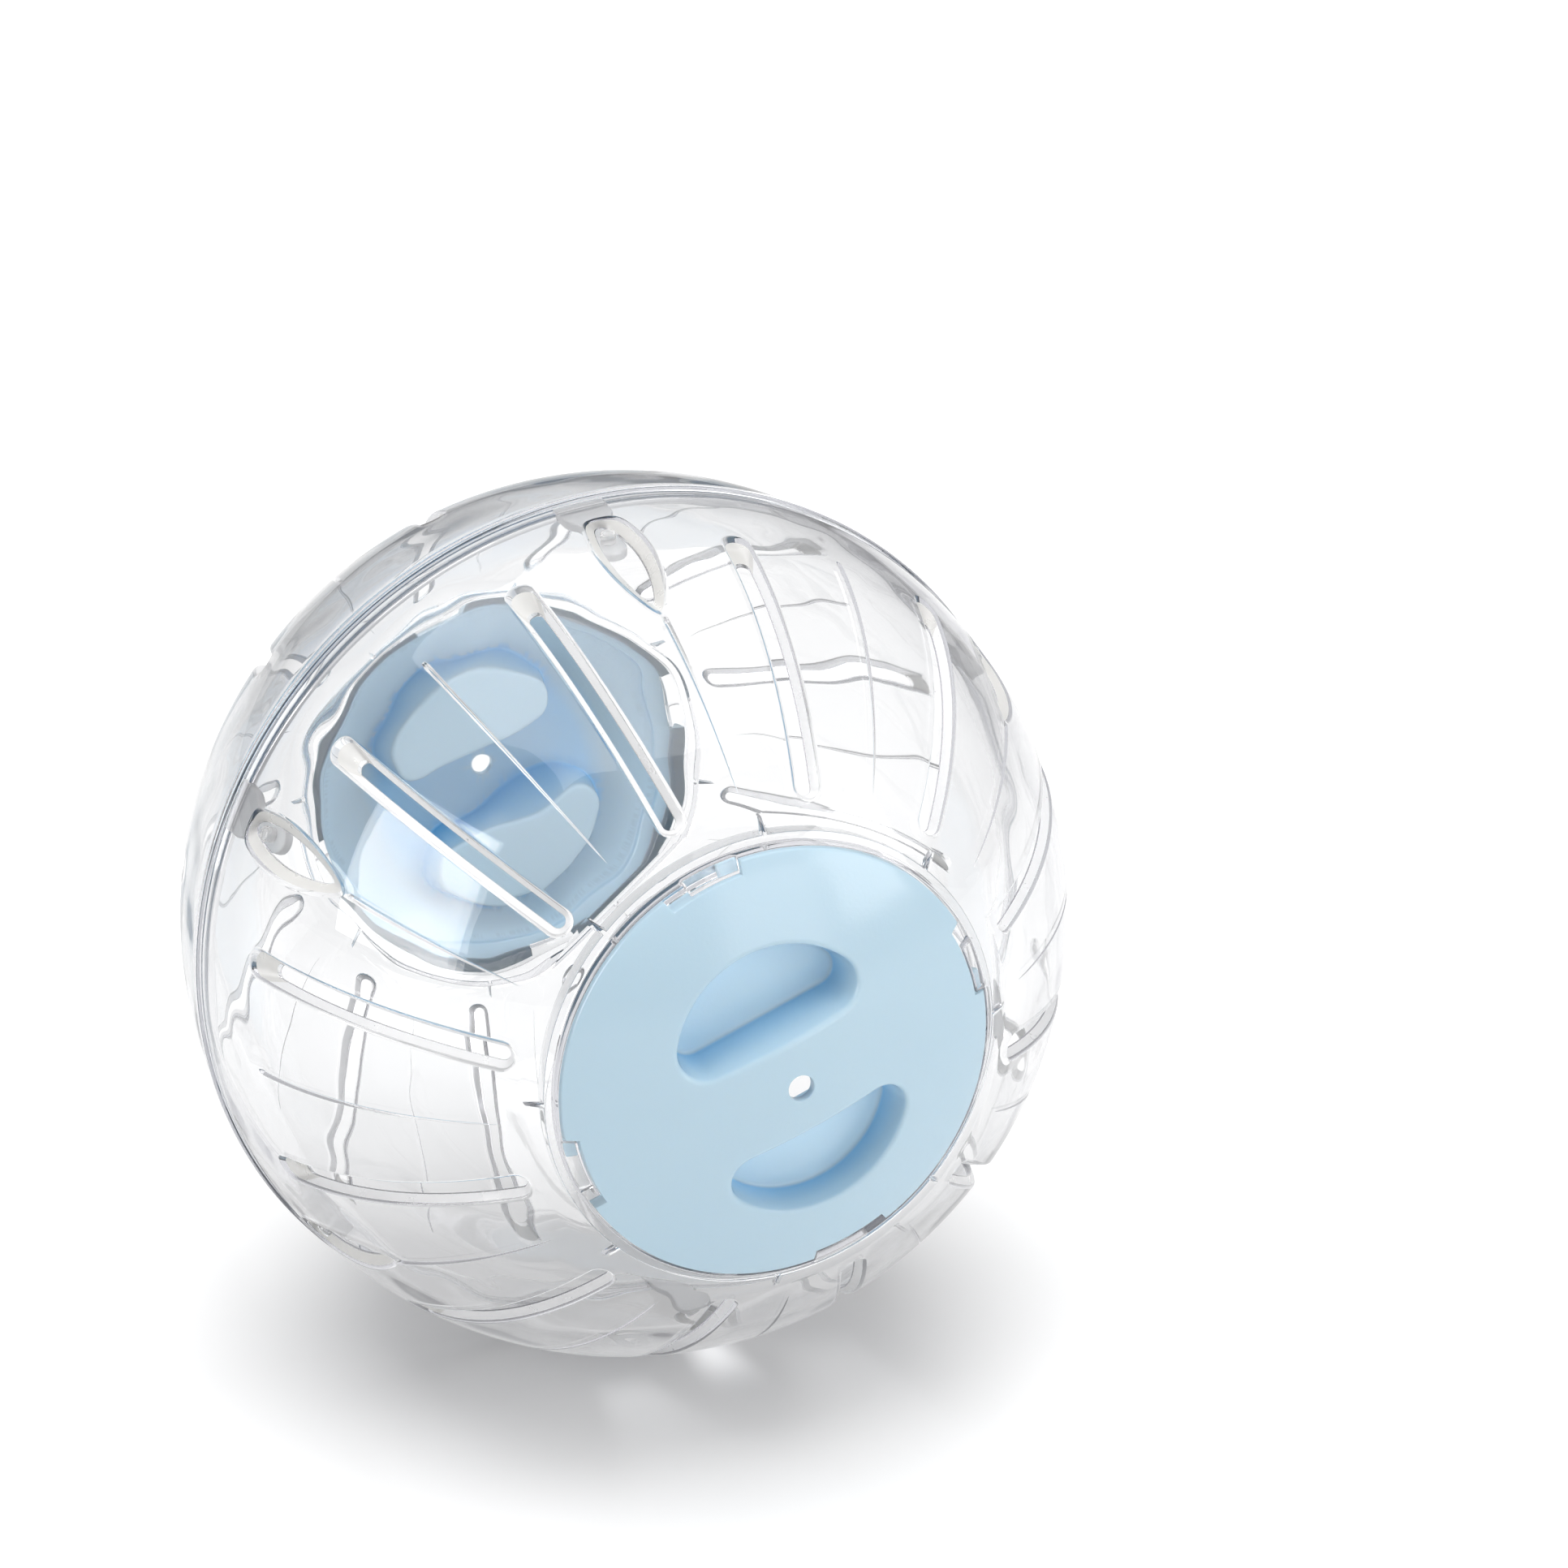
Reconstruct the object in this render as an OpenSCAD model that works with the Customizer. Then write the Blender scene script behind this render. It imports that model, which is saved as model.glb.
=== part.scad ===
// Hamster exercise ball: two clear half shells that snap together at the seam,
// and a twist-off door at each end of the rolling axis.
// Origin at the centre of the ball, +Y along the rolling axis, +Z up.
// Each half is drawn with its pole on +Z and its seam at Z = 0, then turned
// into place. Angles called polar are measured from the pole of that half, and
// angles called azimuth run round the rolling axis.

/* [Ball] */
// Outer radius of the clear shell
shell_r = 69.3; // [60:0.1:90]
// Wall thickness of the clear shell
shell_wall = 1.7; // [1.2:0.1:2.4]
// Roll of the whole ball about its axis, as photographed
roll = 110.5; // [0:0.5:360]
// Height of the rounded bead that marks the seam
bead_height = 0.7; // [0.3:0.1:1.2]
// Radius of the bead's rounded section
bead_r = 0.8; // [0.5:0.1:1.5]

/* [Seam] */
// Reach of the locating lip past the seam
lip_reach = 2; // [1:0.1:3]
// Thickness of the locating lip
lip_wall = 0.9; // [0.6:0.1:1.2]
// Radial gap between the lip and the front shell
lip_gap = 0.2; // [0.1:0.05:0.3]
// Length of the lip's root inside the rear shell
lip_root = 3; // [2:0.5:5]

/* [Air slots] */
// Number of air slots in each half
slot_count = 12; // [6:1:16]
// Polar angle of a slot's end nearest to the door
slot_start = 35; // [34:0.5:45]
// Polar angle of a slot's end nearest to the seam
slot_end = 75.5; // [60:0.5:78]
// Width of a slot on the outside of the shell
slot_outer_w = 4.3; // [3:0.1:6]
// Width of a slot on the inside of the shell
slot_inner_w = 1.9; // [1:0.1:2.5]
// Polar angle that the ramp at the seam end of a slot takes up
slot_ramp = 5; // [3:0.5:8]

/* [Grooves] */
// Width of a needle groove at its middle
groove_w = 0.9; // [0.5:0.1:1.4]
// Polar angle of a groove's end nearest to the door
groove_start = 36.8; // [36:0.2:45]
// Polar angle of a groove's end nearest to the seam
groove_end = 73.7; // [60:0.1:76]

/* [Latches] */
// Number of snap latches round the seam
latch_count = 6; // [3:1:8]
// Polar angle of the pointed end of a latch window
window_tip = 61.8; // [60:0.1:65]
// Polar angle where a latch window is widest
window_widest = 75; // [73:0.5:77]
// Polar angle of a latch window's end at the seam side
window_base = 83.3; // [80:0.1:85]
// Width of a latch window on the outside
window_outer_w = 8.6; // [6:0.1:9]
// Width of a latch window on the inside
window_inner_w = 4.2; // [3.6:0.1:5]
// Width of a tongue where it leaves the seam
tongue_base_w = 7.8; // [6:0.1:10]
// Width of a tongue's nose, under the window
tongue_nose_w = 4.6; // [4.2:0.1:5.5]
// Polar angle of the end of the tongue's nose
tongue_end = 77; // [75:0.5:79]
// Polar angle where the tongue's wide part ends
tongue_shoulder = 84; // [82:0.5:86]
// Thickness of a tongue
tongue_wall = 1.3; // [0.9:0.1:1.8]
// Step from the lip's outer face in to the tongue's
tongue_inset = 0.15; // [0.1:0.05:0.4]
// Radius of the pip that snaps into the window
pip_r = 1.2; // [0.9:0.1:1.4]
// Gap between the pip and the sides of the window
pip_gap = 0.15; // [0.1:0.05:0.3]
// How far the pip stays below the outside of the shell
pip_sink = 0.5; // [0.2:0.1:1]

/* [Door opening] */
// Radius of the door opening in the shell
opening_r = 34; // [30:0.5:38]
// Wall of the ring round the door opening
ring_wall = 1.1; // [0.8:0.1:2]
// Width of the seat that the door rests on
seat_w = 2.2; // [1.5:0.1:3]
// Thickness of the seat
seat_t = 1.3; // [1:0.1:2]
// Number of small gussets round the ring
gusset_count = 8; // [4:1:12]
// Thickness of a gusset
gusset_t = 0.6; // [0.4:0.1:1]
// Reach of a gusset outside the ring
gusset_reach = 2.4; // [1:0.1:3]
// Azimuth of the first gusset from the roll mark
gusset_turn = 26; // [0:1:45]

/* [Door lock] */
// Number of bayonet tabs that hold each door
tab_count = 4; // [3:1:5]
// Angle that one tab takes up
tab_angle = 14.5; // [10:0.5:18]
// Azimuth of the first tab from the roll mark
tab_turn = -2.3; // [-10:0.1:10]
// Reach of a tab inside the door opening
tab_reach = 1.8; // [1.2:0.1:2.2]
// Thickness of a tab
tab_t = 1.1; // [0.8:0.1:1.5]
// Angle of the ledge that turns under a tab
ledge_angle = 5.2; // [4:0.1:8]
// Free angle at each side of a tab in the door's window
tab_play = 0.6; // [0.4:0.1:1]

/* [Doors] */
// Radial gap between the door and its opening
door_gap = 0.3; // [0.2:0.05:0.6]
// Gap between a ledge and the tab above it, and between the rim and the seat
door_lift = 0.25; // [0.15:0.05:0.4]
// Wall thickness of a door
door_wall = 1.6; // [1.2:0.1:2.2]
// Thickness of the door's rim
rim_t = 2.4; // [2:0.1:3]
// Width of the thicker rim
rim_w = 3.5; // [3:0.1:5]
// Radius of the hole at the centre of a door
axle_hole_r = 2; // [1.5:0.1:3]

/* [Finger recesses] */
// Distance from the axis to the straight side of a recess
grip_near = 7.9; // [7:0.1:9]
// Distance from the axis to the far side of a recess
grip_far = 21.2; // [18:0.1:24]
// Half length of the straight side of a recess
grip_half = 10.4; // [8:0.1:12]
// Radius of the two corners of a recess
grip_corner_r = 3.7; // [3:0.1:5]
// Depth of a recess below the top of the dome
grip_depth = 9.3; // [8:0.1:13]
// Wall and floor thickness of a recess
grip_wall = 1.3; // [1:0.1:2]

/* [Hidden] */
$fn = 96;

// Overrun of the cuts past the surfaces that they open
over = 0.5;
// Angle that a groove's arc runs on past its points
run_out = 2;

clear_plastic = [0.92, 0.95, 0.97, 0.35];
door_blue = [0.72, 0.83, 0.89];

// Radii that the pieces share
inner_r = shell_r - shell_wall;
bead_centre_r = shell_r + bead_height - bead_r;
lip_outer_r = sqrt(pow(inner_r, 2) - pow(lip_reach, 2)) - lip_gap;
tongue_r = sqrt(pow(lip_outer_r, 2) - pow(tongue_base_w / 2, 2)) - tongue_inset;
door_r = opening_r - door_gap;
ring_r = opening_r + ring_wall;
seat_bore_r = opening_r - seat_w;
seat_top_r = shell_r - rim_t - door_lift;

// Pitches of the features round the axis
slot_pitch = 360 / slot_count;
latch_pitch = 360 / latch_count;
half_pitch = slot_pitch / 2;
tab_pitch = 360 / tab_count;
window_angle = tab_angle + 2 * tab_play;
notch_angle = window_angle + ledge_angle;

// Circles on the shell that bound a latch window: the angles that their radii
// take up, outside and inside, and the turn of their axes to either side
window_half_arc = arc_of(window_outer_w / 2);
window_reach = window_widest - window_tip;
flank_rise = 1 / cos(window_reach) - cos(window_half_arc);
outer_flank = atan(flank_rise / sin(window_half_arc));
inner_flank = outer_flank - arc_of((window_outer_w - window_inner_w) / 2);
flank_turn = outer_flank - window_half_arc;

// The pip sits as near the seam as the window leaves room for it
pip_arc = arc_of(pip_r + pip_gap);
pip_reach = acos(cos(inner_flank - pip_arc) / cos(flank_turn));
pip_polar = min(window_base - pip_arc, window_widest + pip_reach);

// Top of the spherical surface of radius sphere_r at distance r from the axis
function dome_z(sphere_r, r) = sqrt(pow(sphere_r, 2) - pow(r, 2));

// Polar angle taken up by a length that lies along the shell
function arc_of(len) = len / shell_r * 180 / PI;

// Puts the children's +Z on the ray at a polar angle and an azimuth
module on_ray(polar, azimuth) {
    rotate([0, 0, azimuth]) rotate([0, polar, 0]) children();
}

// Sweeps a profile of radius and half width along the meridian at azimuth 0
module along_meridian(from_polar, to_polar) {
    rotate([90, 0, 0]) rotate([0, 0, 90 - to_polar])
        rotate_extrude(angle = to_polar - from_polar) children();
}

// Spherical skin between two radii, for the half above the seam
module half_skin(outer, inner) {
    difference() {
        sphere(r = outer);
        sphere(r = inner);
        translate([-outer - over, -outer - over, -outer - over])
            cube([2 * (outer + over), 2 * (outer + over), outer + over]);
    }
}

// Wedge round the axis from azimuth 0 to the given angle, out to a radius
module wedge(angle, radius, height) {
    rotate_extrude(angle = angle) square([radius, height]);
}

// Tapered cut of a slot: wide outside, narrow inside, with round ends that
// meet the straight stretch face to face
module slot_cut() {
    w_in = slot_inner_w / 2;
    w_out = slot_outer_w / 2 + (slot_outer_w - slot_inner_w) / 2 * over / shell_wall;
    start = slot_start + arc_of(slot_outer_w / 2);
    end = slot_end - arc_of(slot_outer_w / 2);
    along_meridian(start, end)
        polygon([
            [inner_r - over, -w_in], [inner_r, -w_in], [shell_r + over, -w_out],
            [shell_r + over, w_out], [inner_r, w_in], [inner_r - over, w_in]
        ]);
    for (tip = [[start, 90], [end, -90]]) on_ray(tip[0], 0) rotate([0, 0, tip[1]])
        rotate_extrude(angle = 180)
            polygon([
                [0, inner_r - over], [w_in, inner_r - over], [w_in, inner_r],
                [w_out, shell_r + over], [0, shell_r + over]
            ]);
}

// Block that keeps the sloping floor at the seam end of a slot
module slot_ramp_block() {
    top = [shell_r * sin(slot_end), shell_r * cos(slot_end)];
    foot_polar = slot_end - slot_ramp;
    foot = [inner_r * sin(foot_polar), inner_r * cos(foot_polar)];
    slope = atan2(top[1] - foot[1], top[0] - foot[0]);
    reach = norm(top - foot);
    translate([foot[0], 0, foot[1]]) rotate([0, -slope, 0])
        translate([-reach, -slot_outer_w, -2 * reach])
            cube([3 * reach, 2 * slot_outer_w, 2 * reach]);
}

module air_slots() {
    for (i = [0 : slot_count - 1]) rotate([0, 0, i * slot_pitch])
        difference() {
            slot_cut();
            slot_ramp_block();
        }
}

// Vee groove that runs out to a point at both ends: its arc is larger than the
// shell and set back, so it dips below the surface only along the groove
module needle_groove(from_polar, to_polar) {
    middle = (from_polar + to_polar) / 2;
    half = (to_polar - from_polar) / 2;
    depth = groove_w / 2;
    set_back = depth / (1 - cos(half));
    bottom_r = shell_r + set_back - depth;
    top = depth + over;
    on_ray(middle, 0) translate([0, 0, -set_back]) along_meridian(-half - run_out, half + run_out)
        polygon([[bottom_r, 0], [bottom_r + top, top], [bottom_r + top, -top]]);
}

// Grooves midway between the slots, every second one in line with a latch.
// latch_turn is the azimuth of the first latch in this half.
module needle_grooves(latch_turn) {
    for (i = [0 : latch_count - 1]) {
        rotate([0, 0, i * latch_pitch - latch_turn]) needle_groove(groove_start, groove_end);
        rotate([0, 0, i * latch_pitch + latch_turn])
            needle_groove(groove_start, window_tip + slot_ramp);
    }
}

// Region inside one flank of a latch window, round +Z
module flank_region() {
    outer_edge = shell_r * [sin(outer_flank), cos(outer_flank)];
    inner_edge = inner_r * [sin(inner_flank), cos(inner_flank)];
    overrun = (outer_edge - inner_edge) * over / shell_wall;
    low = inner_edge - overrun;
    high = outer_edge + overrun;
    rotate_extrude()
        polygon([[0, low[1]], low, high, [high[0], shell_r + over], [0, shell_r + over]]);
}

// Leaf-shaped window of a latch, with sloping sides, centred on azimuth 0
module latch_window() {
    window_len = shell_r * sin(window_base - window_tip) + over;
    intersection() {
        on_ray(window_widest, 0) intersection_for (side = [-1, 1])
            rotate([side * flank_turn, 0, 0]) flank_region();
        on_ray(window_base, 0) translate([-window_len, -window_outer_w, 0])
            cube([window_len, 2 * window_outer_w, shell_r + 2 * over]);
    }
}

module latch_windows() {
    for (i = [0 : latch_count - 1]) rotate([0, 0, i * latch_pitch - half_pitch])
        latch_window();
}

// Outline of a tongue on the flat, with the seam across its origin
module tongue_outline() {
    shoulder = tongue_r * cos(tongue_shoulder);
    nose = tongue_r * cos(tongue_end);
    for (part = [[shoulder, tongue_base_w / 2], [nose, tongue_nose_w / 2]]) {
        translate([part[1] - part[0], 0]) circle(r = part[1]);
        translate([part[1] - part[0], -part[1]])
            square([part[0] - part[1] + lip_root / 2, 2 * part[1]]);
    }
}

// Tongue that lies under the front shell, with the pip near its nose
module tongue() {
    pip_foot = tongue_r - tongue_wall / 2;
    intersection() {
        on_ray(90, 0) linear_extrude(shell_r) tongue_outline();
        rotate([90, 0, 0]) difference() {
            cylinder(h = 2 * tongue_base_w, r = tongue_r, center = true);
            cylinder(h = 3 * tongue_base_w, r = tongue_r - tongue_wall, center = true);
        }
    }
    on_ray(pip_polar, 0) translate([0, 0, pip_foot])
        cylinder(h = shell_r - pip_sink - pip_foot, r = pip_r);
}

// Rounded bead on the seam, kept to this half
module seam_bead() {
    intersection() {
        rotate_extrude() translate([bead_centre_r, 0]) circle(r = bead_r);
        cylinder(h = bead_r + over, r = shell_r + bead_height + over);
    }
}

// Ring round the door opening with the seat that the door's rim rests on
module door_ring() {
    bottom_r = seat_top_r - seat_t;
    intersection() {
        difference() {
            sphere(r = shell_r);
            sphere(r = bottom_r);
            difference() {
                cylinder(h = shell_r + over, r = opening_r);
                sphere(r = seat_top_r);
            }
            cylinder(h = shell_r + over, r = seat_bore_r);
        }
        cylinder(h = shell_r + over, r = ring_r);
    }
}

// Bayonet tabs that reach inward over the door's ledges
module door_tabs() {
    intersection() {
        difference() {
            sphere(r = shell_r);
            sphere(r = shell_r - tab_t);
            cylinder(h = shell_r + over, r = opening_r - tab_reach);
        }
        for (i = [0 : tab_count - 1])
            rotate([0, 0, tab_turn + i * tab_pitch - tab_angle / 2])
                wedge(tab_angle, opening_r + ring_wall / 2, shell_r + over);
    }
}

// Small gussets between the ring and the inside of the shell
module gussets() {
    bottom_r = seat_top_r - seat_t;
    intersection() {
        difference() {
            sphere(r = shell_r - shell_wall / 2);
            sphere(r = (bottom_r + inner_r) / 2);
        }
        for (i = [0 : gusset_count - 1]) rotate([0, 0, gusset_turn + i * 360 / gusset_count])
            translate([ring_r - ring_wall / 2, -gusset_t / 2, 0])
                cube([gusset_reach + ring_wall / 2, gusset_t, shell_r]);
    }
}

// Half shell with its door opening, slots, grooves and bead
module half_shell(latch_turn) {
    difference() {
        half_skin(shell_r, inner_r);
        cylinder(h = shell_r + over, r = opening_r + ring_wall / 2);
        air_slots();
        needle_grooves(latch_turn);
    }
    door_ring();
    door_tabs();
    gussets();
    seam_bead();
}

// Lip that reaches from the rear shell into the front shell
module seam_lip() {
    lip_inner_r = lip_outer_r - lip_wall;
    root_r = inner_r + shell_wall / 3;
    rotate_extrude() polygon([
        [lip_inner_r, -lip_reach], [lip_outer_r, -lip_reach], [lip_outer_r, 0],
        [root_r, 0], [root_r, lip_root], [lip_inner_r, lip_root]
    ]);
}

module tongues() {
    for (i = [0 : latch_count - 1]) rotate([0, 0, i * latch_pitch + half_pitch])
        rotate([180, 0, 0]) tongue();
}

// Flat outline of a finger recess, grown by a margin
module grip_outline(margin) {
    side_y = grip_near + grip_corner_r;
    reach = grip_far - grip_corner_r;
    // The far side is one arc that runs on smoothly into both corners
    arc_y = (pow(reach, 2) - pow(side_y, 2) - pow(grip_half, 2)) / (2 * (reach - side_y));
    arc_r = grip_far - arc_y;
    touch = arc_r / (arc_r - grip_corner_r);
    touch_x = grip_half * touch;
    touch_y = arc_y + (side_y - arc_y) * touch;
    for (s = [-1, 1]) translate([s * grip_half, side_y]) circle(r = grip_corner_r + margin);
    polygon([
        [-grip_half, grip_near - margin], [grip_half, grip_near - margin],
        [grip_half, side_y], [touch_x, touch_y], [-touch_x, touch_y], [-grip_half, side_y]
    ]);
    intersection() {
        translate([0, arc_y]) circle(r = arc_r + margin);
        translate([-touch_x, touch_y]) square([2 * touch_x, grip_far]);
    }
}

// The two finger recesses, one each side of the pinch bar
module grips(margin, bottom) {
    for (side = [0, 180]) rotate([0, 0, side - 90])
        translate([0, 0, bottom]) linear_extrude(shell_r) grip_outline(margin);
}

// Notches in the rim: a window that lets a tab through, and a ledge beside it
module rim_notches() {
    ledge_top_r = shell_r - tab_t - door_lift;
    notch_r = opening_r - tab_reach - door_gap;
    for (i = [0 : tab_count - 1])
        rotate([0, 0, tab_turn + i * tab_pitch - tab_angle / 2 - tab_play])
            difference() {
                wedge(notch_angle, opening_r + over, shell_r + over);
                translate([0, 0, -over]) cylinder(h = shell_r + 3 * over, r = notch_r);
                intersection() {
                    rotate([0, 0, -tab_play]) wedge(ledge_angle + tab_play, opening_r + 2 * over,
                                                    shell_r + 2 * over);
                    sphere(r = ledge_top_r);
                }
            }
}

module door() {
    floor_z = shell_r - grip_depth;
    difference() {
        union() {
            // Dome
            intersection() {
                difference() {
                    sphere(r = shell_r);
                    sphere(r = shell_r - door_wall);
                }
                cylinder(h = shell_r + over, r = door_r);
            }
            // Rim
            intersection() {
                difference() {
                    sphere(r = shell_r);
                    sphere(r = shell_r - rim_t);
                    cylinder(h = shell_r + over, r = door_r - rim_w);
                }
                cylinder(h = shell_r + over, r = door_r);
            }
            // Walls and floors of the finger recesses
            intersection() {
                grips(grip_wall, floor_z - grip_wall);
                sphere(r = shell_r - door_wall / 2);
            }
        }
        grips(0, floor_z);
        cylinder(h = shell_r + over, r = axle_hole_r);
        rim_notches();
    }
}

// Turns a half into place: the front pole to -Y, the rear pole to +Y
module at_front() {
    rotate([90, 0, 0]) rotate([0, 0, roll]) children();
}

module at_rear() {
    at_front() rotate([180, 0, 0]) children();
}

module front_shell() {
    color(clear_plastic) at_front() difference() {
        half_shell(-half_pitch);
        latch_windows();
    }
}

module rear_shell() {
    color(clear_plastic) at_rear() {
        half_shell(half_pitch);
        seam_lip();
        tongues();
    }
}

module front_door() {
    color(door_blue) at_front() door();
}

module rear_door() {
    color(door_blue) at_rear() door();
}

front_shell();
rear_shell();
front_door();
rear_door();
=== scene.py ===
"""Looks of the hamster ball: two clear half shells with snap latches, and two pale blue twist-off doors.

Each half is built in its own local frame in millimetres, with its pole on +Z and its seam at Z = 0, and is then
turned into the row frame. Polar angles are measured from the pole, azimuths run round the rolling axis.
"""

import math

import bmesh
import bpy
import numpy as np
from mathutils import Matrix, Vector
from mathutils.geometry import delaunay_2d_cdt


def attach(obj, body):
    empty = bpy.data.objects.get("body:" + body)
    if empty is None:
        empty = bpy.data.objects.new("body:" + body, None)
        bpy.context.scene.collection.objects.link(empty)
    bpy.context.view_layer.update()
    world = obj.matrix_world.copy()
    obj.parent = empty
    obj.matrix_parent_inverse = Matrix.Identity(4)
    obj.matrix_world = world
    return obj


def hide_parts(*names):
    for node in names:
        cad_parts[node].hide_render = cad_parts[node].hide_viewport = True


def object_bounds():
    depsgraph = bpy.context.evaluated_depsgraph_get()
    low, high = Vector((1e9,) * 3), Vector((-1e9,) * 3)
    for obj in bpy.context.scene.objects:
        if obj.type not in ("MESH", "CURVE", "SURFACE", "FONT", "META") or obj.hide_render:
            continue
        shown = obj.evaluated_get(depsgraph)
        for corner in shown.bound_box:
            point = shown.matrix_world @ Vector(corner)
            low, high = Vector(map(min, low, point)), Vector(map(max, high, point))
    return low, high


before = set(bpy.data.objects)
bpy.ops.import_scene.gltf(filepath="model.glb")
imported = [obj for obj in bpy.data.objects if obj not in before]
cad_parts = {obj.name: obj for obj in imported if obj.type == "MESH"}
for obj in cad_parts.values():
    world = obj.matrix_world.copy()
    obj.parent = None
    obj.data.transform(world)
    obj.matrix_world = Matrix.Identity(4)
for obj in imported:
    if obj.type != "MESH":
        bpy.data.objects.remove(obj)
cad_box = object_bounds()

MM = 0.001

# Ball, in millimetres and degrees
SHELL_R = 69.3
WALL = 1.7
INNER_R = SHELL_R - WALL
ROLL = 110.5
BEAD_R = 0.8
BEAD_CENTRE = 69.2
SEAM_GAP = 0.03
BEAD_FOOT = 1.15

# Lip and latches
LIP_OUT = 67.37
LIP_WALL = 0.9
LIP_REACH = 2.0
LIP_ROOT = 3.0
TONGUE_R = 67.1
TONGUE_WALL = 1.3
TONGUE_BASE_W = 7.8
TONGUE_NOSE_W = 4.6
TONGUE_END = 77.0
TONGUE_SHOULDER = 84.0
PIP_R = 1.2
PIP_POLAR = 80.15
PIP_TOP = 68.8
PIP_FOOT = TONGUE_R - 0.6
PIP_FOOT_MIDDLE = TONGUE_R - 0.7
TONGUE_ROOT = 1.5
TONGUE_ROUND = 0.3
LATCH_AT = 15.0
WINDOW_TIP = 61.8
WINDOW_TIP_IN = 65.2
WINDOW_WIDEST = 75.0
WINDOW_BASE = 83.3
WINDOW_OUT_W = 8.6
WINDOW_IN_W = 4.2

# Slots and grooves
SECTORS = 6
SECTOR_START = -22.0
SECTOR = 60.0
SLOT_AT = (0.0, 30.0)
SLOT_START = 35.0
SLOT_END = 75.5
SLOT_RAMP = 5.0
SLOT_OUT_W = 4.3
SLOT_IN_W = 1.9
GROOVE_HALF = 0.55
GROOVE_START = 36.8
GROOVE_END = 73.7
GROOVE_POINT = 0.22  # width at the point, as a share of the full width
GROOVE_CAP = 1.3  # length of the round end, as a share of half the full width
GROOVE_DEEPER = 1.1
LINE_INSET = (0.25, 0.12)
DIP_INSET = (0.1, 0.06)
ROUND_OUT = 0.32
ROUND_IN = 0.22
WALL_ROWS = (0.2, 0.5, 0.85)  # shares of the way through a wall

# Door opening
OPENING_R = 34.0
RING_R = 35.1
SEAT_BORE_R = 31.8
SEAT_TOP = 66.65
SEAT_BOTTOM = 65.35
TABS = 4
TAB_TURN = -2.3
TAB_ANGLE = 14.5
TAB_R = 32.2
TAB_UNDER = 68.2
GUSSETS = 8
GUSSET_TURN = 26.0
GUSSET_WIDTH = 0.6
GUSSET_R = 37.5
GUSSET_SPHERE = 66.475
EASE = 1.0  # how far from the opening its profile leaves the outer skin

# Door
DOOR_R = 33.7
DOOR_INNER = 67.7
RIM_INNER = 66.9
RIM_IN = 30.2
LEDGE_TOP = 67.95
LEDGE_ANGLE = 5.2
NOTCH_R = 31.9
TAB_PLAY = 0.6
HOLE_R = 2.0
GRIP_NEAR = 7.9
GRIP_FAR = 21.2
GRIP_HALF = 10.4
GRIP_CORNER = 3.7
GRIP_FLOOR = 60.0
GRIP_WALL = 1.3
GRIP_LIP = 0.9  # width of a recess's rounded mouth
GRIP_LIP_DROP = 1.0  # and its height
GRIP_DRAFT = 0.5
LIP_DRAFT = 0.1
GRIP_ROUND = 0.9
BOSS_FILLET = 0.6
TOP_EDGE = 30.4  # where the rim meets the top skin
UNDER_EDGE = 29.2  # where it meets the under skin
HOLE_EASE = 0.4  # width of the hole's rounded edge

# How the meshes are divided, and what counts as one point, as no face or as lying on a skin
FINE = 720
COARSE = 360
SECTOR_ROWS = 76
SLOT_SIDE = 48
SLOT_TIP = 10
WINDOW_POINTS = 90
WELD = 0.003
SLIVER = 0.002
ON_SKIN = 0.001
ALONG_SKIN = 0.9  # cosine of the widest angle between a point's normal and the sphere's

# Finish of a face, and of the faces round a slot, whose ramp is at its seam end
CLEAR, WAVY, BEVEL, PALE = 0, 1, 2, 3
SLOT_FINISH = [PALE] * (SLOT_SIDE - 2) + [BEVEL] * (SLOT_TIP + 4) + [PALE] * (SLOT_SIDE + SLOT_TIP - 2)

# Polar angles where the sectors of the two skins end, at the door opening and at the seam of either half
OUTER_RING = 31.4
OUTER_SEAM = 88.4
INNER_RING = 34.3
INNER_SEAM = {False: 88.4, True: 86.3}

# Painted shading of the door's colour: 1 is painted shade by the walls of a hollow, 0 the skin's own colour, -1 is
# painted light on a hollow's floor and on the rim
RECESS_PAINTED_SHADING = [0, 0, 0, 0, 0, 0.05, 0.05, 0.15, 0.35, 0.55, 0.6, 0.3, -0.2, -0.6, -0.8]
BOSS_PAINTED_SHADING = [0.6, 0.9, 1, 0.95, 0.2, -0.2, -0.6, -1, -1]
UNDER_PAINTED_SHADING = ((8, 18, 24, UNDER_EDGE), (0.3, 0.6, -0.3, -1))
RIM_PAINTED_SHADING = ((0.3, 0.45, 0.9, 1), (0, -1, -1, -0.2))

# Plastics
CLEAR_IOR = 1.5
DOOR_IOR = 1.46
FROST = (0.74, 0.73, 0.7)
PALE_FROST = (0.93, 0.93, 0.93)
FROST_TRANSMISSION = 0.35
TONGUE_COLOUR = (0.86, 0.86, 0.855)
TONGUE_TRANSMISSION = 0.8
DOOR_SKIN = ((0.455, 0.61, 0.71), (0.48, 0.635, 0.73))
# Door colours for the painted light on floors and rim, and for the painted shade by the walls of hollows
DOOR_PAINTED_LIGHT = (0.585, 0.775, 0.9)
DOOR_PAINTED_SHADE = (0.21, 0.55, 0.88)
ABSORB_COLOUR = (0.33, 0.35, 0.40)
ABSORPTION = 30.0
WALL_TINT = (0.95, 0.95, 0.955)
SECOND_WALL_TINT = (0.36, 0.36, 0.365)
ONE_WALL = 1.5  # light that has passed more has come to the second wall
MOST_BOUNCES = 8  # light with more bounces or mirrorings than these two is let go of
MOST_MIRRORED = 1
CAUGHT_TINT = (0.9, 0.9, 0.91)

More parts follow.
